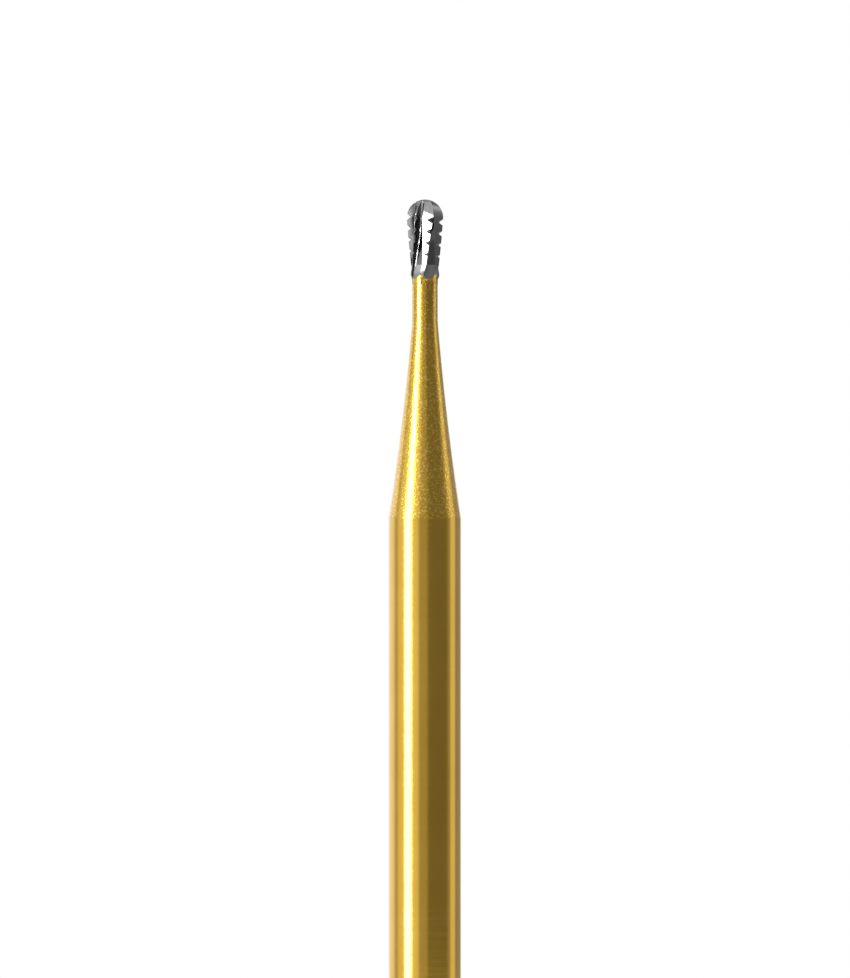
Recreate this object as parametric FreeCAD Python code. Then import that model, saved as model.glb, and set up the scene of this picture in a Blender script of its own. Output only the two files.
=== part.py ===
import FreeCAD, Part
import math
import os

# A friction grip dental bur, in millimetres. The axis is Z, the shank's flat end
# stands on Z = 0 and the cutting head points up. A round steel shank runs into a
# slender flared neck, and a small round ended carbide head with spiral blades is
# brazed face to face on the end of the neck.

# Shank and neck
overall_length = 19.0
shank_diameter = 1.60
shank_length = 12.0
end_chamfer = 0.15
neck_diameter = 0.57
neck_blend_radius = 2.2
flare_entry_angle = 4.9
slender_length = 0.73

# Head blank
head_diameter = 0.80
head_taper = 3.7
blade_length = 1.66
base_chamfer_height = 0.11
stub_length = 0.09

# Blades and the gullets between them
blade_count = 6
flute_lead = 16.7
front_edge_angle = -64.4
front_edge_depth = 0.54
margin_width = 0.016
rake_undercut_angle = 6.0
upper_floor_angle = 12.0
lower_floor_angle = 7.0
floor_facing_lag = 8.0
floor_facing_turn = 14.0
tip_cap_diameter = 0.36
upper_core_diameter = 0.41
core_rise_depth = 0.78
lower_core_diameter = 0.54
upper_knee_diameter = 0.52
lower_knee_diameter = 0.60
knee_lag_angle = 40.0
runout_depth = 1.44
runout_slope = 4.5
runout_twist = 30.0
runout_overrun = 0.03

# Crosscut: one left hand thread of small grooves across the blades
notch_pitch = 0.25
notch_rows = 4
first_notch_depth = 0.372
first_notch_blade = 4
notch_root_diameter = 0.61
notch_root_width = 0.012
notch_angle = 80.0
notch_lag_angle = 15.0

# Steps between the sections that each stretch of a gullet is drawn through
dome_steps = 7
parallel_steps = 2
rising_steps = 3

# Places that follow from the sizes above
shank_radius = shank_diameter / 2
neck_radius = neck_diameter / 2
head_radius = head_diameter / 2
neck_top_depth = blade_length + base_chamfer_height
joint_depth = neck_top_depth + stub_length
joint_height = overall_length - joint_depth
blade_step = 360.0 / blade_count
# Every tool's cross section reaches this far out, clear of the blank
tool_reach = head_diameter
# The smooth cap that the gullets leave at the tip ends at this angle off the axis
cap_turn = math.asin((tip_cap_diameter / 2 + margin_width) / head_radius)
cap_depth = head_radius * (1 - math.cos(cap_turn))


def polar(radius, angle, height=0.0):
    """A point at a radius and an angle in degrees round the axis."""
    turn = math.radians(angle)
    return FreeCAD.Vector(radius * math.cos(turn), radius * math.sin(turn), height)


def profile_point(radius, height):
    """A point of a half section, which lies in the XZ plane."""
    return FreeCAD.Vector(radius, 0, height)


def revolved(edges):
    """The solid that a closed half section sweeps round the Z axis."""
    face = Part.Face(Part.Wire(edges))
    return face.revolve(FreeCAD.Vector(0, 0, 0), FreeCAD.Vector(0, 0, 1), 360)


def height_at(depth):
    """The height of a level that lies this far below the tip."""
    return overall_length - depth


def make_shank():
    """Shank and neck in one turned piece, from the chamfered end up to the joint face."""
    blend_turn = math.radians(flare_entry_angle)
    slender_end = joint_height - slender_length
    end_centre = profile_point(0, 0)
    end_rim = profile_point(shank_radius - end_chamfer, 0)
    grip_start = profile_point(shank_radius, end_chamfer)
    shoulder = profile_point(shank_radius, shank_length)
    neck_start = profile_point(neck_radius, slender_end)
    neck_end = profile_point(neck_radius, joint_height)
    joint_centre = profile_point(0, joint_height)

    # The parallel neck rolls into the flare on a short arc
    def on_blend(turn):
        return profile_point(
            neck_radius + neck_blend_radius * (1 - math.cos(turn)),
            slender_end - neck_blend_radius * math.sin(turn),
        )

    blend_end = on_blend(blend_turn)
    blend = Part.Arc(neck_start, on_blend(blend_turn / 2), blend_end).toShape()

    # The flare leaves the arc in line with it and opens gently to the shoulder
    half_drop = (blend_end.z - shank_length) / 2
    bend = profile_point(
        blend_end.x + half_drop * math.tan(blend_turn), blend_end.z - half_drop
    )
    flare = Part.BezierCurve()
    flare.setPoles([shoulder, bend, blend_end])

    return revolved(
        [
            Part.makeLine(end_centre, end_rim),
            Part.makeLine(end_rim, grip_start),
            Part.makeLine(grip_start, shoulder),
            flare.toShape(),
            blend,
            Part.makeLine(neck_start, neck_end),
            Part.makeLine(neck_end, joint_centre),
            Part.makeLine(joint_centre, end_centre),
        ]
    )


# The dome runs a little past its widest circle, to where the taper is tangent to it
taper_turn = math.radians(head_taper)
dome_end_depth = head_radius * (1 + math.sin(taper_turn))
dome_end_radius = head_radius * math.cos(taper_turn)


def envelope_radius(depth):
    """Radius of the dome and taper that the blades' edges lie on."""
    if depth <= 0:
        return 0.0
    if depth < dome_end_depth:
        return math.sqrt(depth * (2 * head_radius - depth))
    return dome_end_radius - (depth - dome_end_depth) * math.tan(taper_turn)


def make_head_blank():
    """The round carbide blank: dome, taper, base chamfer and the stub of the neck."""
    base_radius = envelope_radius(blade_length)
    tip = profile_point(0, height_at(0))
    dome_middle_depth = head_radius * (1 - math.sin(math.radians(45)))
    dome_middle = profile_point(
        envelope_radius(dome_middle_depth), height_at(dome_middle_depth)
    )
    dome_end = profile_point(dome_end_radius, height_at(dome_end_depth))
    base = profile_point(base_radius, height_at(blade_length))
    neck_top = profile_point(neck_radius, height_at(neck_top_depth))
    stub_end = profile_point(neck_radius, joint_height)
    joint_centre = profile_point(0, joint_height)
    return revolved(
        [
            Part.Arc(tip, dome_middle, dome_end).toShape(),
            Part.makeLine(dome_end, base),
            Part.makeLine(base, neck_top),
            Part.makeLine(neck_top, stub_end),
            Part.makeLine(stub_end, joint_centre),
            Part.makeLine(joint_centre, tip),
        ]
    )


def edge_angle(blade, depth):
    """Angle of a blade's cutting edge: a right hand spiral that turns in at the run out."""
    turned_in = runout_twist * max(depth - runout_depth, 0.0)
    return (
        front_edge_angle
        + blade * blade_step
        - 360.0 * (depth - front_edge_depth) / flute_lead
        - turned_in
    )


def runout_lift(depth):
    """How far the wheel has lifted out of the gullet where it runs out at the base."""
    return max(depth - runout_depth, 0.0) * math.tan(math.radians(runout_slope))


def core_radius(depth):
    """Radius at the gullet's floor: round under the dome, slim, rising, then run out."""
    upper = upper_core_diameter / 2
    lower = lower_core_diameter / 2
    if depth < head_radius:
        to_widest = (head_radius - depth) / (head_radius - cap_depth)
        return upper - (upper - tip_cap_diameter / 2) * min(to_widest, 1.0) ** 2
    if depth < core_rise_depth:
        return upper
    if depth < runout_depth:
        rise = (depth - core_rise_depth) / (runout_depth - core_rise_depth)
        return upper + (lower - upper) * rise
    return lower + runout_lift(depth)


def straight_run(depth):
    """How far down the knee's straight line, between the dome and the run out."""
    return min(max(depth, head_radius), runout_depth) - head_radius


def knee_angle(depth):
    """Angle of the knee behind the next blade's edge.

    Under the dome and in the run out the knee follows the spiral, and between them its
    line runs straight down the head.
    """
    return edge_angle(1, depth) - knee_lag_angle + 360.0 * straight_run(depth) / flute_lead


def floor_angle(depth):
    """How far past the edge the floor reaches round the axis."""
    rise = straight_run(depth) / (runout_depth - head_radius)
    return upper_floor_angle + (lower_floor_angle - upper_floor_angle) * rise


def floor_facing(depth):
    """The way that the flat floor faces, which turns slowly down the straight knee."""
    return knee_angle(depth) - floor_facing_lag - floor_facing_turn * straight_run(depth)


def knee_radius(depth):
    """Radius at the knee: a share of the tooth's height under the dome, then rising."""
    upper = upper_knee_diameter / 2
    lower = lower_knee_diameter / 2
    if depth < head_radius:
        core = core_radius(depth)
        rim = max(envelope_radius(depth), core + margin_width)
        core_at_widest = upper_core_diameter / 2
        share = (upper - core_at_widest) / (head_radius - core_at_widest)
        return core + (rim - core) * share
    rise = min((depth - head_radius) / (runout_depth - head_radius), 1.0)
    return upper + (lower - upper) * rise + runout_lift(depth)


def gullet_section(depth):
    """One gullet's cross section, open outwards past the blank.

    It goes from the rake face of one blade, a little undercut, over the floor to the back
    of the next, which is a steep relief up to a knee and then the land behind the edge.
    """
    core = core_radius(depth)
    rim = max(envelope_radius(depth), core + margin_width)
    rake_angle = edge_angle(0, depth)
    margin_angle = edge_angle(1, depth) - math.degrees(margin_width / head_radius)
    height = height_at(depth)
    facing = floor_facing(depth)
    start_angle = rake_angle - rake_undercut_angle
    end_angle = rake_angle + floor_angle(depth)
    across_end = math.cos(math.radians(end_angle - facing))
    across_start = math.cos(math.radians(start_angle - facing))
    start_radius = min(core * across_end / across_start, rim - margin_width)
    floor_start = polar(start_radius, start_angle, height)
    floor_end = polar(core, end_angle, height)
    edge = polar(rim, rake_angle, height)
    rake_out = edge + (edge - floor_start).normalize() * tool_reach
    knee = polar(knee_radius(depth), knee_angle(depth), height)
    land_end = polar(rim, margin_angle, height)
    land_out = land_end + (land_end - knee).normalize() * tool_reach
    corners = [rake_out, floor_start, floor_end, knee, land_out]
    return Part.makePolygon(corners + [rake_out])


def evenly(start, end, steps):
    """Depths at even steps from one to another."""
    return [start + (end - start) * step / steps for step in range(steps + 1)]


def make_gullet_tool():
    """What the wheel sweeps between two blades, in stretches that meet at its turns."""
    # Round the dome the sections stand at even angles, from the cap to the widest circle
    turns = evenly(cap_turn, math.pi / 2, dome_steps)
    dome = [head_radius * (1 - math.cos(turn)) for turn in turns]
    above_tip = [-cap_depth, dome[0]]
    parallel = evenly(head_radius, core_rise_depth, parallel_steps)
    rising = evenly(core_rise_depth, runout_depth, rising_steps)
    runout = [runout_depth, neck_top_depth + runout_overrun]
    return [
        Part.makeLoft([gullet_section(depth) for depth in depths], True, False)
        for depths in (above_tip, dome, parallel, rising, runout)
    ]


def make_notch_tool(blade, row):
    """The little V wheel that grinds one notch of the crosscut across one land."""
    blades_passed = (blade - first_notch_blade) % blade_count
    depth = first_notch_depth + notch_pitch * (row + blades_passed / blade_count)
    root_radius = notch_root_diameter / 2
    middle_angle = edge_angle(blade, depth) - notch_lag_angle
    outward = polar(1, middle_angle)
    along = polar(1, middle_angle + 90)
    along.z = -notch_pitch / (2 * math.pi * head_radius)
    half_length = root_radius * math.tan(math.radians(2 * notch_lag_angle))
    half_root = notch_root_width / 2
    half_mouth = half_root + tool_reach * math.tan(math.radians(notch_angle / 2))
    start = polar(root_radius, middle_angle, height_at(depth)) - along * half_length
    up = FreeCAD.Vector(0, 0, 1)
    corners = [
        start - up * half_root,
        start + up * half_root,
        start + outward * tool_reach + up * half_mouth,
        start + outward * tool_reach - up * half_mouth,
    ]
    section = Part.Face(Part.makePolygon(corners + [corners[0]]))
    return section.extrude(along * (2 * half_length))


def make_head():
    """The blank with its gullets ground between the blades, and then the crosscut."""
    tools = make_gullet_tool()
    axis_foot = FreeCAD.Vector(0, 0, 0)
    axis = FreeCAD.Vector(0, 0, 1)
    cutters = []
    for blade in range(blade_count):
        for tool in tools:
            turned = tool.copy()
            turned.rotate(axis_foot, axis, blade * blade_step)
            cutters.append(turned)
    for blade in range(blade_count):
        for row in range(notch_rows):
            cutters.append(make_notch_tool(blade, row))
    return make_head_blank().cut(cutters)


def export(shape, node):
    """One STEP file for one piece, which has to be a single sound solid."""
    (solid,) = shape.Solids
    print(node, "sound" if solid.isValid() else "NOT SOUND", round(solid.Volume, 4), "mm3")
    solid.exportStep(os.path.join("parts", node + ".step"))


os.makedirs("parts", exist_ok=True)
export(make_shank(), "shank")
export(make_head(), "carbide_head")
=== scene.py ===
import math
import bpy
import numpy as np
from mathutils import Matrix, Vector


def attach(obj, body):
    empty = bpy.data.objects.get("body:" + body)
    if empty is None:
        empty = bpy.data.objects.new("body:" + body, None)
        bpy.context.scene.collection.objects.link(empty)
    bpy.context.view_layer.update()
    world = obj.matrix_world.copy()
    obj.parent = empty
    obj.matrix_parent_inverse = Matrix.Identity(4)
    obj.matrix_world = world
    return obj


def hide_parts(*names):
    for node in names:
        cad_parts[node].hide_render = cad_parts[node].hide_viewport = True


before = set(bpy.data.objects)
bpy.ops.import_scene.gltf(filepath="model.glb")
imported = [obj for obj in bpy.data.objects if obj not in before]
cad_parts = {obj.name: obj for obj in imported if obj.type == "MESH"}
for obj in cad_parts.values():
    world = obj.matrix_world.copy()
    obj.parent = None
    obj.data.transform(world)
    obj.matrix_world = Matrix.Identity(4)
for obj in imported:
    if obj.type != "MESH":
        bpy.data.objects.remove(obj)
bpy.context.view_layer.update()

# A friction grip dental bur: gold plated shank and neck, carbide head.
# Lengths in the dictionaries are millimetres and angles are degrees.
# Angles round the axis start at +X and grow anticlockwise seen from the tip.
# Depth is measured down from the tip.
mm = 0.001
overallLength = 19.0
print("frame loaded")


# Camera and picture

picture = {
    "centreHeight": 12.65,   # of the middle of the picture
    "tall": 21.45,           # what the picture takes in from top to bottom
    "distance": 320.0,
    "sensor": 24.0,
    "nearest": 10.0,         # what the camera can see lies between these two distances
    "farthest": 10000.0,
}


def makeCamera():
    # Lens length = sensor height times distance over the height of the picture
    data = bpy.data.cameras.new("camera")
    data.sensor_fit = "VERTICAL"
    data.sensor_height = picture["sensor"]
    data.lens = picture["sensor"] * picture["distance"] / picture["tall"]
    data.clip_start = picture["nearest"] * mm
    data.clip_end = picture["farthest"] * mm
    camera = bpy.data.objects.new("camera", data)
    bpy.context.collection.objects.link(camera)
    camera.location = (0, -picture["distance"] * mm, picture["centreHeight"] * mm)
    camera.rotation_euler = (math.radians(90), 0, 0)
    bpy.context.scene.camera = camera


makeCamera()
print("camera placed")


# Meshes from grids

def addPiece(name, grid, bottom, top, sharpAngle):
    # Grid rows run up the axis and columns run anticlockwise, so each quad faces
    # outwards; both ends close in a fan round a middle point.
    rows, columns = grid.shape[:2]
    points = np.concatenate([grid.reshape(-1, 3), [bottom], [top]])
    row = np.arange(rows - 1)[:, None] * columns
    here = np.arange(columns)[None, :]
    after = (here + 1) % columns
    quads = np.stack(
        [row + here, row + after, row + columns + after, row + columns + here], axis=-1
    ).reshape(-1, 4)
    last = (rows - 1) * columns
    foot = np.full(columns, rows * columns)
    lowerFan = np.stack([foot, after[0], here[0]], axis=-1)
    upperFan = np.stack([foot + 1, last + here[0], last + after[0]], axis=-1)
    mesh = bpy.data.meshes.new(name)
    mesh.from_pydata(
        (points * mm).tolist(), [], quads.tolist() + lowerFan.tolist() + upperFan.tolist()
    )
    mesh.polygons.foreach_set("use_smooth", np.ones(len(mesh.polygons), dtype=bool))
    mesh.set_sharp_from_angle(angle=math.radians(sharpAngle))
    piece = bpy.data.objects.new(name, mesh)
    bpy.context.collection.objects.link(piece)
    return piece


def addPointValues(piece, name, kind, values):
    attribute = piece.data.attributes.new(name, kind, "POINT")
    key = "value" if kind == "FLOAT" else "vector"
    attribute.data.foreach_set(key, np.asarray(values, dtype=np.float32).ravel())


# Shank and neck

shankSizes = {
    "gripDiameter": 1.60,
    "gripLength": 12.0,
    "endChamfer": 0.15,
    "chamferRounding": 0.03,
    "neckDiameter": 0.57,
    "blendRadius": 2.2,
    "flareEntryAngle": 4.9,
    "slenderLength": 0.73,
    "jointHeight": 17.14,
}
# Points along each part of the half section, segments round the axis, and how far the
# straight run's first and last rings stand off the chamfer and the shoulder
shankMesh = {
    "corner": 6,
    "straight": 60,
    "flare": 90,
    "blend": 24,
    "slender": 10,
    "segments": 288,
    "offChamfer": 0.1,
    "offShoulder": 0.02,
    "sharpAngle": 28.0,
}


def cornerArc(before, corner, after, setback, steps):
    # A quadratic curve that leaves one side of a corner and meets the other in line
    start = corner + (before - corner) / np.linalg.norm(before - corner) * setback
    end = corner + (after - corner) / np.linalg.norm(after - corner) * setback
    t = np.linspace(0, 1, steps)[:, None]
    return (1 - t) ** 2 * start + 2 * t * (1 - t) * corner + t ** 2 * end


def shankProfile():
    # Half section from the flat end up: end face, chamfer, straight shank, a quadratic
    # flare that starts at the shoulder, an arc tangent to it, and the parallel neck.
    s, m = shankSizes, shankMesh
    grip, neck = s["gripDiameter"] / 2, s["neckDiameter"] / 2
    turn = math.radians(s["flareEntryAngle"])
    slenderStart = s["jointHeight"] - s["slenderLength"]
    rim = np.array([grip - s["endChamfer"], 0.0])
    gripFoot = np.array([grip, s["endChamfer"]])
    inner = np.array([0.0, 0.0])
    above = np.array([grip, s["gripLength"]])
    roundedEnd = np.concatenate([
        cornerArc(inner, rim, gripFoot, s["chamferRounding"], m["corner"]),
        cornerArc(rim, gripFoot, above, s["chamferRounding"], m["corner"]),
    ])
    first, last = s["endChamfer"] + m["offChamfer"], s["gripLength"] - m["offShoulder"]
    ring = np.linspace(first, last, m["straight"])
    straight = np.stack([np.full(m["straight"], grip), ring], axis=-1)
    arcTurn = np.linspace(turn, 0, m["blend"])[:, None]
    arcRadius = neck + s["blendRadius"] * (1 - np.cos(arcTurn))
    arcHeight = slenderStart - s["blendRadius"] * np.sin(arcTurn)
    blend = np.concatenate([arcRadius, arcHeight], axis=-1)
    halfDrop = (blend[0, 1] - s["gripLength"]) / 2
    bend = np.array([blend[0, 0] + halfDrop * math.tan(turn), blend[0, 1] - halfDrop])
    t = np.linspace(0, 1, m["flare"])[:, None]
    flare = (1 - t) ** 2 * above + 2 * t * (1 - t) * bend + t ** 2 * blend[0]
    ring = np.linspace(slenderStart, s["jointHeight"], m["slender"] + 1)[1:]
    slender = np.stack([np.full(m["slender"], neck), ring], axis=-1)
    return np.concatenate([roundedEnd, straight, flare, blend[1:], slender])


def revolve(profile, segments):
    # Each profile point goes round the axis: x = r cos a, y = r sin a, z = height
    angle = np.linspace(0, 2 * np.pi, segments, endpoint=False)[None, :]
    radius, height = profile[:, :1], profile[:, 1:]
    return np.stack(
        [radius * np.cos(angle), radius * np.sin(angle), height + 0 * angle], axis=-1
    )


shank = addPiece(
    "shankAndNeck",
    revolve(shankProfile(), shankMesh["segments"]),
    (0, 0, 0),
    (0, 0, shankSizes["jointHeight"]),
    shankMesh["sharpAngle"],
)
print("shank and neck:", len(shank.data.polygons), "faces")


# Carbide head

headSizes = {
    "diameter": 0.80,
    "taper": 3.7,
    "bladeLength": 1.66,
    "baseChamferHeight": 0.11,
    "stubLength": 0.09,
}
bladeSizes = {
    "count": 6,
    "lead": 16.7,
    "frontEdgeAngle": -64.4,
    "frontEdgeDepth": 0.54,
    "marginWidth": 0.016,
    "rakeUndercutAngle": 6.0,
    "upperFloorAngle": 12.0,
    "lowerFloorAngle": 7.0,
    "floorFacingLag": 8.0,
    "floorFacingTurn": 14.0,
    "tipCapDiameter": 0.36,
    "upperCoreDiameter": 0.41,
    "coreRiseDepth": 0.78,
    "lowerCoreDiameter": 0.54,
    "upperKneeDiameter": 0.52,
    "lowerKneeDiameter": 0.60,
    "kneeLagAngle": 40.0,
    "runOutDepth": 1.44,
    "runOutSlope": 4.5,
    "runOutTwist": 30.0,
}
notchSizes = {
    "pitch": 0.25,
    "rows": 4,
    "firstDepth": 0.372,
    "firstBlade": 4,
    "rootDiameter": 0.61,
    "rootWidth": 0.012,
    "angle": 80.0,
    "lagAngle": 15.0,
}
# Columns of the grid along each side of a gullet, and its rows: how many to one notch
# pitch, the depth near which those begin, how many round the tip above them, and how far
# from the axis the first of these turns (radians)
headGrid = {
    "rake": 12,
    "floor": 8,
    "relief": 10,
    "land": 25,
    "margin": 3,
    "rowsToPitch": 36,
    "levelDepth": 0.04,
    "tipRows": 22,
    "tipTurn": 0.02,
    "sharpAngle": 24.0,
}
# How the drop of the rows along the notches' roots fades: the depth where it sets in, the
# length over which it grows, and the length over which it dies away down to the joint
rowFade = (0.1, 0.2, 0.3)
# Painted light and shade with real roughness on each side of a gullet: the brightness
# paints shade dark into the rake and relief deep in the gullet and lifts the floor and
# margin a little as a painted highlight; the roughness is what its own wheel leaves
sidePaintedLightAndRoughness = {
    "rake": (0.26, 0.10),
    "floor": (1.1, 0.14),
    "relief": (0.55, 0.12),
    "land": (1.0, 0.11),
    "margin": (1.1, 0.10),
}
# Width of one side in the coordinate that the grinding lines are drawn across
sideSpan = 0.2
# How much brighter the relief is painted where the wheel runs out: painted light for the
# facet that catches the light there
runOutPaintedLight = 2.55
# Painted light that lifts the shaded rake where the wheel goes round the dome, the rake's
# roughness there, and the depth over which they fade in
domeRakeLightAndRoughness = (1.5, 0.36)
domeFade = 0.12
# The plating stays where the wheels cut no deeper than the first figure, from the second
# figure above the base down
platedCut, platedRise = 0.0004, 0.004

headRadius = headSizes["diameter"] / 2
neckTopDepth = headSizes["bladeLength"] + headSizes["baseChamferHeight"]
jointDepth = neckTopDepth + headSizes["stubLength"]


def blankRadius(depth):
    # A sphere at the tip, a straight taper tangent to it, a cone at the base and the stub;
    # the first of the two results carries the taper on past the base
    taper = math.radians(headSizes["taper"])
    domeEnd = headRadius * (1 + math.sin(taper))

    def onTaper(down):
        return headRadius * math.cos(taper) - (down - domeEnd) * math.tan(taper)

    sphere = np.sqrt(np.maximum(depth * (2 * headRadius - depth), 0))
    envelope = np.where(depth < domeEnd, sphere, onTaper(depth))
    neck = shankSizes["neckDiameter"] / 2
    blade = headSizes["bladeLength"]
    baseRadius = onTaper(blade)
    share = np.clip((depth - blade) / headSizes["baseChamferHeight"], 0, 1)
    cone = baseRadius + (neck - baseRadius) * share
    return envelope, np.where(depth > blade, cone, envelope)


def edgeAngle(depth):
    # A steady right hand spiral that turns in faster below the run out depth
    b = bladeSizes
    spiral = b["frontEdgeAngle"] - 360 * (depth - b["frontEdgeDepth"]) / b["lead"]
    return spiral - b["runOutTwist"] * np.maximum(depth - b["runOutDepth"], 0)


def runOutLift(depth):
    slope = math.tan(math.radians(bladeSizes["runOutSlope"]))
    return np.maximum(depth - bladeSizes["runOutDepth"], 0) * slope


def coreRadius(depth):
    # A parabola from the cap to the widest circle, slim, rising evenly, then lifting out
    b = bladeSizes
    cap = b["tipCapDiameter"] / 2
    upper, lower = b["upperCoreDiameter"] / 2, b["lowerCoreDiameter"] / 2
    capTurn = math.asin((cap + b["marginWidth"]) / headRadius)
    capDepth = headRadius * (1 - math.cos(capTurn))
    toWidest = np.clip((headRadius - depth) / (headRadius - capDepth), 0, 1)
    dome = upper - (upper - cap) * toWidest ** 2
    riseLength = b["runOutDepth"] - b["coreRiseDepth"]
    rise = np.clip((depth - b["coreRiseDepth"]) / riseLength, 0, 1)
    below = upper + (lower - upper) * rise
    return np.where(depth < headRadius, dome, below) + runOutLift(depth)


def gulletCorners(depth):
    # Angle and radius of the corners of one gullet: edge, floor start, floor end, knee,
    # start of the margin and next edge. The knee stands straight down the head's side,
    # and the way that the flat floor faces turns slowly along it.
    b = bladeSizes
    step = 360 / b["count"]
    envelope = blankRadius(depth)[0]
    core = coreRadius(depth)
    rim = np.maximum(envelope, core + b["marginWidth"])
    rake = edgeAngle(depth)
    marginStart = rake + step - math.degrees(b["marginWidth"] / headRadius)
    straight = np.clip(depth, headRadius, b["runOutDepth"]) - headRadius
    kneeAngle = rake + step - b["kneeLagAngle"] + 360 * straight / b["lead"]
    upper, lower = b["upperKneeDiameter"] / 2, b["lowerKneeDiameter"] / 2
    coreAtWidest = b["upperCoreDiameter"] / 2
    share = (upper - coreAtWidest) / (headRadius - coreAtWidest)
    rise = np.clip((depth - headRadius) / (b["runOutDepth"] - headRadius), 0, 1)
    kneeBelow = upper + (lower - upper) * rise + runOutLift(depth)
    knee = np.where(depth < headRadius, core + (rim - core) * share, kneeBelow)
    facing = kneeAngle - b["floorFacingLag"] - b["floorFacingTurn"] * straight
    startAngle = rake - b["rakeUndercutAngle"]
    straightShare = straight / (b["runOutDepth"] - headRadius)
    narrowing = b["lowerFloorAngle"] - b["upperFloorAngle"]
    endAngle = rake + b["upperFloorAngle"] + narrowing * straightShare
    acrossEnd = np.cos(np.radians(endAngle - facing))
    acrossStart = np.cos(np.radians(startAngle - facing))
    floorStart = np.minimum(core * acrossEnd / acrossStart, rim - b["marginWidth"])
    return [
        (rake, rim),
        (startAngle, floorStart),
        (endAngle, core),
        (kneeAngle, knee),
        (marginStart, rim),
        (rake + step, rim),
    ]


def notchLimit(angle, height):
    # How far out the carbide may reach between the notches: each notch is a straight V
    # across a land, so its floor is a plane at the root and its sides open with height.
    # A notch counts for the angles whose cosine from its middle is above nearCosine, and
    # elsewhere the limit lies far outside the head.
    n = notchSizes
    count = bladeSizes["count"]
    nearCosine, openRadius = 0.7, 10.0
    limit = np.full(angle.shape, openRadius)
    root = n["rootDiameter"] / 2
    fall = n["pitch"] / (2 * math.pi * headRadius)
    for blade in range(count):
        passed = (blade - n["firstBlade"]) % count
        for row in range(n["rows"]):
            depth = n["firstDepth"] + n["pitch"] * (row + passed / count)
            middle = edgeAngle(depth) + blade * 360 / count - n["lagAngle"]
            away = np.radians((angle - middle + 180) % 360 - 180)
            near = np.cos(away) > nearCosine
            safe = np.where(near, away, 0)
            line = overallLength - depth - fall * root * np.tan(safe)
            offset = np.maximum(np.abs(height - line) - n["rootWidth"] / 2, 0)
            radius = (root + offset / math.tan(math.radians(n["angle"] / 2))) / np.cos(safe)
            limit = np.where(near, np.minimum(limit, radius), limit)
    return limit


def headRows():
    # Rows at even angles round the tip, then at even depths that meet every notch
    n = notchSizes
    step = n["pitch"] / headGrid["rowsToPitch"]
    above = math.floor((n["firstDepth"] - headGrid["levelDepth"]) / step)
    level = np.arange(n["firstDepth"] - above * step, jointDepth - step / 2, step)
    lastTurn = math.acos(1 - level[0] / headRadius)
    turn = np.linspace(headGrid["tipTurn"], lastTurn, headGrid["tipRows"])[:-1]
    return np.concatenate([headRadius * (1 - np.cos(turn)), level, [jointDepth]])


def rowFall(angle, depth):
    # How far a row has dropped at an angle, so that it runs along the notches' roots; the
    # drop fades out towards the tip and the joint
    n = notchSizes
    away = np.radians(angle - edgeAngle(depth) - 360 / bladeSizes["count"] + n["lagAngle"])
    fall = n["pitch"] / (2 * math.pi * headRadius) * n["rootDiameter"] / 2 * np.tan(away)
    start, fadeIn, fadeOut = rowFade
    fall = fall * np.clip((depth - start) / fadeIn, 0, 1)
    return fall * np.clip((jointDepth - depth) / fadeOut, 0, 1)


def oneGullet():
    # Each side of the section is a straight run of columns from corner to corner. Rows
    # drop with the notches over the back of the blade and come level again in the gullet.
    level = headRows()[::-1][:, None]
    corners = gulletCorners(level)
    kneeDrop, marginDrop, edgeDrop = (rowFall(angle, level) for angle, _ in corners[3:])
    drops = [edgeDrop, 0 * level, 0 * level, kneeDrop, marginDrop, edgeDrop]
    parts = []
    for side, (name, (paintedLightTone, roughness)) in enumerate(sidePaintedLightAndRoughness.items()):
        t = np.linspace(0, 1, headGrid[name], endpoint=False)[None, :]
        depth = level + drops[side] + (drops[side + 1] - drops[side]) * t
        start, end = (
            radius * np.exp(1j * np.radians(angle))
            for angle, radius in gulletCorners(depth)[side:side + 2]
        )
        plan = start + (end - start) * t
        # Painted light: the relief is lighter below the run-out and the rake lighter on the
        # dome
        if name == "relief":
            paintedLightTone = np.where(depth > bladeSizes["runOutDepth"], paintedLightTone * runOutPaintedLight, paintedLightTone)
        if name == "rake":
            onDome = np.clip((headRadius - depth) / domeFade, 0, 1)
            paintedLightTone = paintedLightTone + (domeRakeLightAndRoughness[0] - paintedLightTone) * onDome
            roughness = roughness + (domeRakeLightAndRoughness[1] - roughness) * onDome
        across = side * sideSpan + sideSpan * t
        values = [value + 0 * depth for value in (across, paintedLightTone, roughness)]
        parts.append([plan.real, plan.imag, depth, *values])
    return [np.concatenate(pieces, axis=1) for pieces in zip(*parts)]


def meetNotchEdges(x, y, height):
    # Where the edge of a notch passes between two columns, the nearer point moves along
    # its row onto that edge
    gap = notchLimit(np.degrees(np.arctan2(y, x)), height) - np.hypot(x, y)
    nextX, nextY, nextHeight, nextGap = (
        np.roll(part, -1, axis=1) for part in (x, y, height, gap)
    )
    crossing = (gap > 0) != (nextGap > 0)
    share = np.where(crossing, gap / np.where(crossing, gap - nextGap, 1), 0)
    moved = []
    for here, after in ((x, nextX), (y, nextY), (height, nextHeight)):
        onward = np.where(crossing & (share < 0.5), share * (after - here), 0)
        back = np.where(crossing & (share >= 0.5), (1 - share) * (after - here), 0)
        moved.append(here + onward - np.roll(back, 1, axis=1))
    return moved


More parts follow.
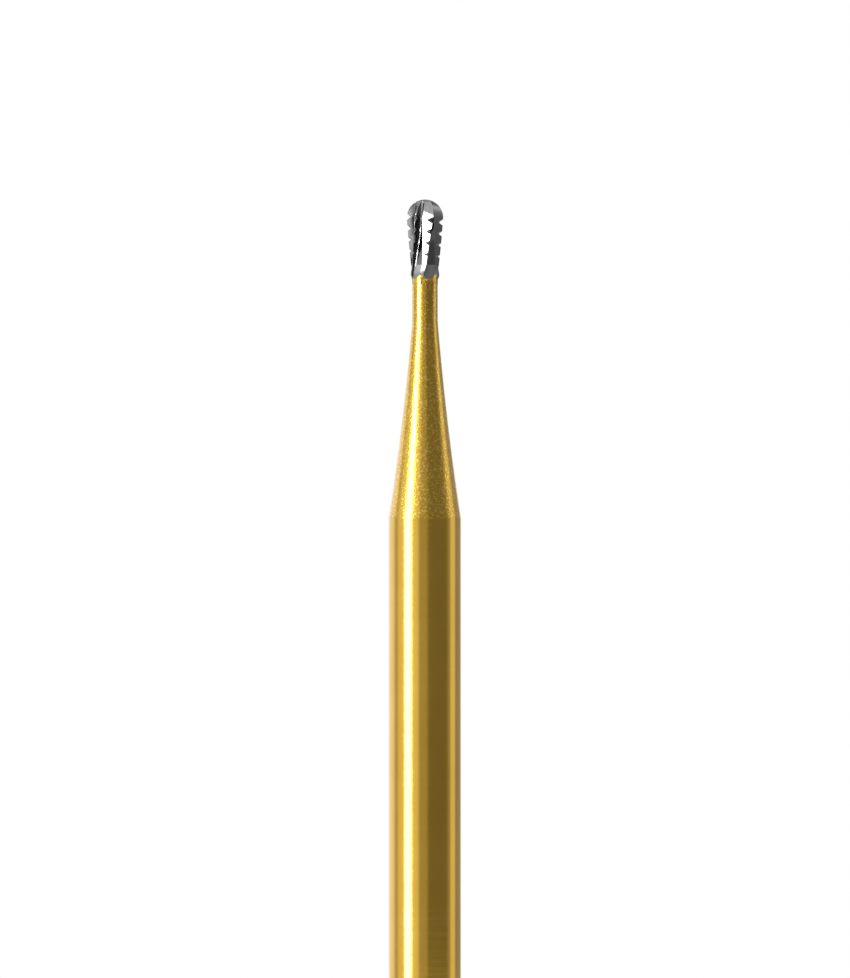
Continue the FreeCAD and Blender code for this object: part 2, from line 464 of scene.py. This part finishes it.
def makeHead():
    gullet = oneGullet()
    count = bladeSizes["count"]
    turns = np.repeat(np.arange(count) * 360 / count, gullet[0].shape[1])[None, :]
    x, y, depth, across, paintedLightTone, rough = (np.tile(part, (1, count)) for part in gullet)
    plan = (x + 1j * y) * np.exp(1j * np.radians(turns))
    x, y, height = meetNotchEdges(plan.real, plan.imag, overallLength - depth)
    radius, angle = np.hypot(x, y), np.degrees(np.arctan2(y, x))
    blank = blankRadius(overallLength - height)[1]
    plated = (radius >= blank - platedCut) & (depth > headSizes["bladeLength"] - platedRise)
    radius = np.minimum(radius, np.minimum(blank, notchLimit(angle, height)))
    turn = np.radians(angle)
    grid = np.stack([radius * np.cos(turn), radius * np.sin(turn), height], axis=-1)
    foot = (0, 0, float(height.min()))
    tip = (0, 0, overallLength)
    piece = addPiece("bladedHead", grid, foot, tip, headGrid["sharpAngle"])
    # The last two values of each are those of the fans' middle points, foot and tip
    along = np.stack([across + turns, depth, 0 * depth], axis=-1).reshape(-1, 3)
    along = np.concatenate([along, np.zeros((2, 3))])
    addPointValues(piece, "fluteLines", "FLOAT_VECTOR", along)
    # The side brightness stored here is painted light and shade
    for name, values, middles in (
        ("plated", plated, (1.0, 0.0)),
        ("paintedSideLight", paintedLightTone, (1.0, 1.0)),
        ("sideRoughness", rough, (0.2, 0.2)),
    ):
        addPointValues(piece, name, "FLOAT", np.concatenate([values.ravel(), middles]))
    return piece


head = makeHead()
print("head:", len(head.data.polygons), "faces")


# Node groups

def newGroup(name, inputs, outputs):
    group = bpy.data.node_groups.new(name, "ShaderNodeTree")
    for label, kind, value in inputs:
        socket = group.interface.new_socket(
            label, in_out="INPUT", socket_type="NodeSocket" + kind
        )
        if value is not None:
            socket.default_value = value
    for label, kind in outputs:
        group.interface.new_socket(
            label, in_out="OUTPUT", socket_type="NodeSocket" + kind
        )
    return group, group.nodes.new("NodeGroupInput"), group.nodes.new("NodeGroupOutput")


def mathNode(tree, operation, a, b=None):
    node = tree.nodes.new("ShaderNodeMath")
    node.operation = operation
    for socket, value in zip(node.inputs, (a, b)):
        if value is None:
            continue
        if isinstance(value, (int, float)):
            socket.default_value = value
        else:
            tree.links.new(value, socket)
    return node.outputs[0]


def noiseNode(tree, vector, scale, detail, roughness):
    node = tree.nodes.new("ShaderNodeTexNoise")
    node.inputs["Detail"].default_value = detail
    node.inputs["Roughness"].default_value = roughness
    tree.links.new(vector, node.inputs["Vector"])
    tree.links.new(scale, node.inputs["Scale"])
    return node.outputs[0]


def makeLinesGroup():
    # Fine parallel lines: noise that is stretched along one direction of its coordinates
    group, inside, outside = newGroup(
        "grindingLines",
        [
            ("Vector", "Vector", None),
            ("Stretch", "Vector", (1, 1, 1)),
            ("Scale", "Float", 1000.0),
        ],
        [("Height", "Float")],
    )
    stretched = group.nodes.new("ShaderNodeVectorMath")
    stretched.operation = "MULTIPLY"
    group.links.new(inside.outputs["Vector"], stretched.inputs[0])
    group.links.new(inside.outputs["Stretch"], stretched.inputs[1])
    scale = inside.outputs["Scale"]
    lines = noiseNode(group, stretched.outputs[0], scale, detail=3.0, roughness=0.65)
    group.links.new(lines, outside.inputs["Height"])
    return group


def makeGrainGroup():
    # Blasted or sintered grain: fine noise for height, its peaks as bright specks, and a
    # slow cloud for tone
    speckStart, speckGain = 0.51, 8.0
    group, inside, outside = newGroup(
        "surfaceGrain",
        [
            ("Vector", "Vector", None),
            ("Fine", "Float", 30000.0),
            ("Cloud", "Float", 1200.0),
        ],
        [("Height", "Float"), ("Tone", "Float"), ("Speck", "Float")],
    )
    vector = inside.outputs["Vector"]
    fine = noiseNode(group, vector, inside.outputs["Fine"], detail=2.0, roughness=0.6)
    cloud = noiseNode(group, vector, inside.outputs["Cloud"], detail=3.0, roughness=0.5)
    speck = mathNode(group, "SUBTRACT", fine, speckStart)
    speck = mathNode(group, "MULTIPLY", speck, speckGain)
    speck.node.use_clamp = True
    for label, value in (("Height", fine), ("Tone", cloud), ("Speck", speck)):
        group.links.new(value, outside.inputs[label])
    return group


linesGroup = makeLinesGroup()
grainGroup = makeGrainGroup()


def placeGroup(tree, group, vector, **values):
    node = tree.nodes.new("ShaderNodeGroup")
    node.node_tree = group
    tree.links.new(vector, node.inputs["Vector"])
    for label, value in values.items():
        node.inputs[label].default_value = value
    return node


def mixColour(tree, factor, a, b):
    node = tree.nodes.new("ShaderNodeMix")
    node.data_type = "RGBA"
    tree.links.new(factor, node.inputs["Factor"])
    for socket, value in ((node.inputs["A"], a), (node.inputs["B"], b)):
        if isinstance(value, tuple):
            socket.default_value = (*value, 1.0)
        else:
            tree.links.new(value, socket)
    return node.outputs["Result"]


def mapTo(tree, value, low, high, fromLow=0.3, fromHigh=0.7):
    # Noise lies mostly between 0.3 and 0.7, so that span is the one mapped by default
    node = tree.nodes.new("ShaderNodeMapRange")
    node.inputs["From Min"].default_value = fromLow
    node.inputs["From Max"].default_value = fromHigh
    node.inputs["To Min"].default_value = low
    node.inputs["To Max"].default_value = high
    tree.links.new(value, node.inputs["Value"])
    return node.outputs[0]


def bumpNode(tree, height, distance, after=None):
    node = tree.nodes.new("ShaderNodeBump")
    node.inputs["Strength"].default_value = 1.0
    node.inputs["Distance"].default_value = distance * mm
    tree.links.new(height, node.inputs["Height"])
    if after is not None:
        tree.links.new(after, node.inputs["Normal"])
    return node.outputs[0]


def newMaterial(name):
    material = bpy.data.materials.new(name)
    material.use_nodes = True
    tree = material.node_tree
    shader = tree.nodes["Principled BSDF"]
    coordinates = tree.nodes.new("ShaderNodeTexCoord").outputs["Object"]
    return material, tree, shader, coordinates


# Materials

# Pairs are the two ends that a surface varies between. The blasted gold's peaks take the
# bright colour and the lower roughness, and grazingTint dims the carbide's mirror at
# grazing angles.
goldLook = {
    "bright": (0.82, 0.495, 0.045),
    "deep": (0.76, 0.445, 0.030),
    "polishedRoughness": (0.11, 0.17),
    "polishedCoatRoughness": 0.12,
    "polishedGrain": {"Fine": 20000.0, "Cloud": 900.0},
    "turnedLines": {"Stretch": (0.02, 0.02, 1.0), "Scale": 28000.0},
    "lineHeight": 0.00035,
    "blastedBright": (1.0, 0.70, 0.14),
    "blastedDeep": (0.71, 0.41, 0.020),
    "blastedRoughness": (0.11, 0.16),
    "blastedCoatRoughness": 0.05,
    "blastedGrain": {"Fine": 21000.0, "Cloud": 2500.0},
    "grainHeight": 0.0050,
}
carbideLook = {
    "pale": (0.38, 0.38, 0.385),
    "dark": (0.29, 0.29, 0.30),
    "grazingTint": (0.3, 0.3, 0.3, 1.0),
    "cloudyRoughness": (-0.02, 0.04),
    "groundLines": {"Stretch": (1.0, 0.02, 1.0), "Scale": 90.0},
    "lineHeight": 0.0006,
    "sinterGrain": {"Fine": 60000.0, "Cloud": 4000.0},
    "grainHeight": 0.0003,
}


def finishMetal(tree, shader, colour, roughness, normal):
    shader.inputs["Metallic"].default_value = 1.0
    tree.links.new(colour, shader.inputs["Base Color"])
    tree.links.new(roughness, shader.inputs["Roughness"])
    tree.links.new(normal, shader.inputs["Normal"])


def makePolishedGold():
    gold = goldLook
    material, tree, shader, place = newMaterial("polishedGold")
    turned = placeGroup(tree, linesGroup, place, **gold["turnedLines"]).outputs["Height"]
    grain = placeGroup(tree, grainGroup, place, **gold["polishedGrain"])
    cloud = mapTo(tree, grain.outputs["Tone"], 0, 1)
    colour = mixColour(tree, cloud, gold["bright"], gold["deep"])
    roughness = mapTo(tree, turned, *gold["polishedRoughness"])
    normal = bumpNode(tree, turned, gold["lineHeight"])
    finishMetal(tree, shader, colour, roughness, normal)
    shader.inputs["Coat Weight"].default_value = 1.0
    shader.inputs["Coat Roughness"].default_value = gold["polishedCoatRoughness"]
    return material


def blastedGoldValues(tree, place):
    gold = goldLook
    grain = placeGroup(tree, grainGroup, place, **gold["blastedGrain"])
    speck = grain.outputs["Speck"]
    smooth, rough = gold["blastedRoughness"]
    colour = mixColour(tree, speck, gold["blastedDeep"], gold["blastedBright"])
    return grain.outputs["Height"], colour, mapTo(tree, speck, rough, smooth, 0, 1)


def makeBlastedGold():
    material, tree, shader, place = newMaterial("blastedGold")
    height, colour, roughness = blastedGoldValues(tree, place)
    normal = bumpNode(tree, height, goldLook["grainHeight"])
    finishMetal(tree, shader, colour, roughness, normal)
    shader.inputs["Coat Weight"].default_value = 1.0
    shader.inputs["Coat Roughness"].default_value = goldLook["blastedCoatRoughness"]
    return material


def attributeValue(tree, name, output="Fac"):
    node = tree.nodes.new("ShaderNodeAttribute")
    node.attribute_name = name
    return node.outputs[output]


def makeGroundCarbide():
    # Bare ground carbide, with the plating kept on the unground base and stub
    look = carbideLook
    material, tree, shader, place = newMaterial("groundCarbide")
    flute = attributeValue(tree, "fluteLines", "Vector")
    mask = attributeValue(tree, "plated")
    lines = placeGroup(tree, linesGroup, flute, **look["groundLines"]).outputs["Height"]
    sinter = placeGroup(tree, grainGroup, place, **look["sinterGrain"])
    goldHeight, goldColour, goldRoughness = blastedGoldValues(tree, place)

    # Every side of a gullet has its own painted light and shade, which scales the carbide's
    # colour
    paintedLightCarbide = tree.nodes.new("ShaderNodeVectorMath")
    paintedLightCarbide.operation = "SCALE"
    carbide = mixColour(tree, mapTo(tree, lines, 0, 1), look["dark"], look["pale"])
    tree.links.new(carbide, paintedLightCarbide.inputs[0])
    tree.links.new(attributeValue(tree, "paintedSideLight"), paintedLightCarbide.inputs["Scale"])
    colour = mixColour(tree, mask, paintedLightCarbide.outputs[0], goldColour)

    # And its own roughness, a little cloudy
    cloudy = mapTo(tree, sinter.outputs["Tone"], *look["cloudyRoughness"])
    sideRoughness = attributeValue(tree, "sideRoughness")
    roughness = tree.nodes.new("ShaderNodeMix")
    tree.links.new(mask, roughness.inputs["Factor"])
    tree.links.new(mathNode(tree, "ADD", sideRoughness, cloudy), roughness.inputs["A"])
    tree.links.new(goldRoughness, roughness.inputs["B"])

    # Grinding lines on the bare carbide, blasted grain under the plating
    ground = mathNode(tree, "MULTIPLY", lines, mathNode(tree, "SUBTRACT", 1.0, mask))
    blasted = mathNode(tree, "MULTIPLY", goldHeight, mask)
    normal = bumpNode(tree, ground, look["lineHeight"])
    normal = bumpNode(tree, sinter.outputs["Height"], look["grainHeight"], normal)
    normal = bumpNode(tree, blasted, goldLook["grainHeight"], normal)

    finishMetal(tree, shader, colour, roughness.outputs["Result"], normal)
    tree.links.new(mask, shader.inputs["Coat Weight"])
    shader.inputs["Coat Roughness"].default_value = goldLook["blastedCoatRoughness"]
    shader.inputs["Specular Tint"].default_value = look["grazingTint"]
    return material


shank.data.materials.append(makePolishedGold())
shank.data.materials.append(makeBlastedGold())
head.data.materials.append(makeGroundCarbide())
# The blasted stretch starts just above the shoulder
centres = np.empty(len(shank.data.polygons) * 3, dtype=np.float32)
shank.data.polygons.foreach_get("center", centres)
blastedFrom = (shankSizes["gripLength"] + shankMesh["offShoulder"]) * mm
isNeck = centres.reshape(-1, 3)[:, 2] > blastedFrom
shank.data.polygons.foreach_set("material_index", isNeck.astype(np.int32))
print("materials made")


# Studio

# Every card stands upright round the bur: the direction of its middle (0 towards the
# camera, growing to the right), half its width, the softness of its sides and its level
studioCards = [
    (-60.0, 45.0, 11.0, 0.84),
    (-104.0, 6.0, 6.0, 0.55),
    (-4.0, 10.0, 12.0, 0.40),
    (42.0, 27.0, 14.0, 0.19),
    (99.0, 7.0, 9.0, 0.80),
    (-160.0, 41.0, 12.0, 1.0),
]
studioLevel = 0.34
# A bright panel low in front, described in the same way, and the slopes between which it
# fades in from above and out again below
lowPanel = (2.0, 10.0, 10.0, 5.0)
lowPanelTop = (-0.175, -0.21)
lowPanelFoot = (-0.27, -0.32)
# How much lighter the room is above and below the bur, and where that sets in
slopeLift = 1.25
slopeBand = (0.06, 0.25)
# The ceiling is a pale even sheet
ceilingLevel = 1.0
ceilingBand = (0.6, 0.95)


def makeCardGroup():
    # Inside the card's width the level is the card's, outside it is that of the room
    group, inside, outside = newGroup(
        "studioCard",
        [
            ("Azimuth", "Float", 0.0),
            ("Middle", "Float", 0.0),
            ("HalfWidth", "Float", 10.0),
            ("Softness", "Float", 5.0),
            ("Level", "Float", 1.0),
            ("Room", "Float", 0.0),
        ],
        [("Result", "Float")],
    )
    away = mathNode(group, "SUBTRACT", inside.outputs["Azimuth"], inside.outputs["Middle"])
    turn = mathNode(group, "COSINE", mathNode(group, "RADIANS", away))
    wrapped = mathNode(group, "DEGREES", mathNode(group, "ARCCOSINE", turn))
    edge = mathNode(group, "SUBTRACT", wrapped, inside.outputs["HalfWidth"])
    share = group.nodes.new("ShaderNodeMapRange")
    share.interpolation_type = "SMOOTHSTEP"
    share.inputs["To Min"].default_value = 1.0
    share.inputs["To Max"].default_value = 0.0
    group.links.new(edge, share.inputs["Value"])
    group.links.new(inside.outputs["Softness"], share.inputs["From Max"])
    mix = group.nodes.new("ShaderNodeMix")
    group.links.new(share.outputs[0], mix.inputs["Factor"])
    group.links.new(inside.outputs["Room"], mix.inputs["A"])
    group.links.new(inside.outputs["Level"], mix.inputs["B"])
    group.links.new(mix.outputs["Result"], outside.inputs["Result"])
    return group


def placeCard(tree, cardGroup, azimuth, values, room):
    card = tree.nodes.new("ShaderNodeGroup")
    card.node_tree = cardGroup
    tree.links.new(azimuth, card.inputs["Azimuth"])
    for label, value in zip(("Middle", "HalfWidth", "Softness", "Level"), values):
        card.inputs[label].default_value = value
    if isinstance(room, float):
        card.inputs["Room"].default_value = room
    else:
        tree.links.new(room, card.inputs["Room"])
    return card.outputs["Result"]


def mixLevel(tree, factor, a, b):
    node = tree.nodes.new("ShaderNodeMix")
    tree.links.new(factor, node.inputs["Factor"])
    tree.links.new(a, node.inputs["A"])
    if isinstance(b, float):
        node.inputs["B"].default_value = b
    else:
        tree.links.new(b, node.inputs["B"])
    return node.outputs["Result"]


def whiteBackground(tree):
    node = tree.nodes.new("ShaderNodeBackground")
    node.inputs["Color"].default_value = (1.0, 1.0, 1.0, 1.0)
    node.inputs["Strength"].default_value = 1.0
    return node


def makeWorld():
    world = bpy.data.worlds.new("studio")
    world.use_nodes = True
    bpy.context.scene.world = world
    tree = world.node_tree
    tree.nodes.clear()
    direction = tree.nodes.new("ShaderNodeTexCoord").outputs["Generated"]
    split = tree.nodes.new("ShaderNodeSeparateXYZ")
    tree.links.new(direction, split.inputs[0])
    towards = mathNode(tree, "MULTIPLY", split.outputs["Y"], -1.0)
    azimuth = mathNode(tree, "ARCTAN2", split.outputs["X"], towards)
    azimuth = mathNode(tree, "DEGREES", azimuth)
    cardGroup = makeCardGroup()
    level = studioLevel
    for values in studioCards:
        level = placeCard(tree, cardGroup, azimuth, values, level)
    height = split.outputs["Z"]
    slope = mathNode(tree, "ABSOLUTE", height)
    lift = mapTo(tree, slope, 1.0, slopeLift, *slopeBand)
    level = mathNode(tree, "MULTIPLY", level, lift)
    panel = placeCard(tree, cardGroup, azimuth, lowPanel, level)
    top = mapTo(tree, height, 0.0, 1.0, *lowPanelTop)
    foot = mapTo(tree, height, 1.0, 0.0, *lowPanelFoot)
    level = mixLevel(tree, mathNode(tree, "MULTIPLY", top, foot), level, panel)
    up = mapTo(tree, height, 0.0, 1.0, *ceilingBand)
    up.node.interpolation_type = "SMOOTHSTEP"
    level = mixLevel(tree, up, level, ceilingLevel)
    # The camera sees plain white, and the bur mirrors the studio
    studio, plain = whiteBackground(tree), whiteBackground(tree)
    tree.links.new(level, studio.inputs["Strength"])
    path = tree.nodes.new("ShaderNodeLightPath")
    seen = tree.nodes.new("ShaderNodeMixShader")
    tree.links.new(path.outputs["Is Camera Ray"], seen.inputs["Fac"])
    tree.links.new(studio.outputs[0], seen.inputs[1])
    tree.links.new(plain.outputs[0], seen.inputs[2])
    output = tree.nodes.new("ShaderNodeOutputWorld")
    tree.links.new(seen.outputs[0], output.inputs["Surface"])


# A soft upright lamp that faces the bur: direction as for the cards, height of its middle,
# width, height, distance and brightness
keyBox = {
    "azimuth": -55.5,
    "middle": -10.0,
    "width": 125.0,
    "height": 276.0,
    "distance": 300.0,
    "brightness": 10.0,
}


def makeKeyBox():
    # Power = brightness times pi times area
    k = keyBox
    data = bpy.data.lights.new("keyBox", "AREA")
    data.shape = "RECTANGLE"
    data.size = k["width"] * mm
    data.size_y = k["height"] * mm
    data.energy = k["brightness"] * math.pi * data.size * data.size_y
    lamp = bpy.data.objects.new("keyBox", data)
    bpy.context.collection.objects.link(lamp)
    turn = math.radians(k["azimuth"])
    across, back = math.sin(turn) * k["distance"], math.cos(turn) * k["distance"]
    place = Vector((across, -back, k["middle"])) * mm
    aim = Vector((0, 0, k["middle"] * mm)) - place
    lamp.location = place
    lamp.rotation_euler = aim.to_track_quat("-Z", "Y").to_euler()
    lamp.visible_camera = False


floorLook = {
    "radius": 31.0,
    "segments": 96,
    "fadeFrom": 14.0,
    "fadeTo": 30.5,
    "grey": 0.92,
    "roughness": 0.9,
    "specular": 0.1,
}


def makeFloor():
    # A pale round sheet under the bur that fades into the white round it
    f = floorLook
    angle = np.linspace(0, 2 * np.pi, f["segments"], endpoint=False)
    plan = [f["radius"] * np.cos(angle), f["radius"] * np.sin(angle), 0 * angle]
    mesh = bpy.data.meshes.new("floor")
    rim = np.stack(plan, axis=-1) * mm
    mesh.from_pydata(rim.tolist(), [], [list(range(f["segments"]))])
    floor = bpy.data.objects.new("floor", mesh)
    bpy.context.collection.objects.link(floor)
    material, tree, shader, place = newMaterial("paleFloor")
    shader.inputs["Base Color"].default_value = (f["grey"], f["grey"], f["grey"], 1.0)
    shader.inputs["Roughness"].default_value = f["roughness"]
    shader.inputs["Specular IOR Level"].default_value = f["specular"]
    length = tree.nodes.new("ShaderNodeVectorMath")
    length.operation = "LENGTH"
    tree.links.new(place, length.inputs[0])
    band = (f["fadeFrom"] * mm, f["fadeTo"] * mm)
    fade = mapTo(tree, length.outputs["Value"], 1.0, 0.0, *band)
    tree.links.new(fade, shader.inputs["Alpha"])
    mesh.materials.append(material)


makeWorld()
makeKeyBox()
makeFloor()
bpy.context.scene.view_settings.view_transform = "Standard"
print("studio set")


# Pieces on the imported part

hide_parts("shank")
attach(shank, "root")
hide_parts("carbide_head")
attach(head, "root")
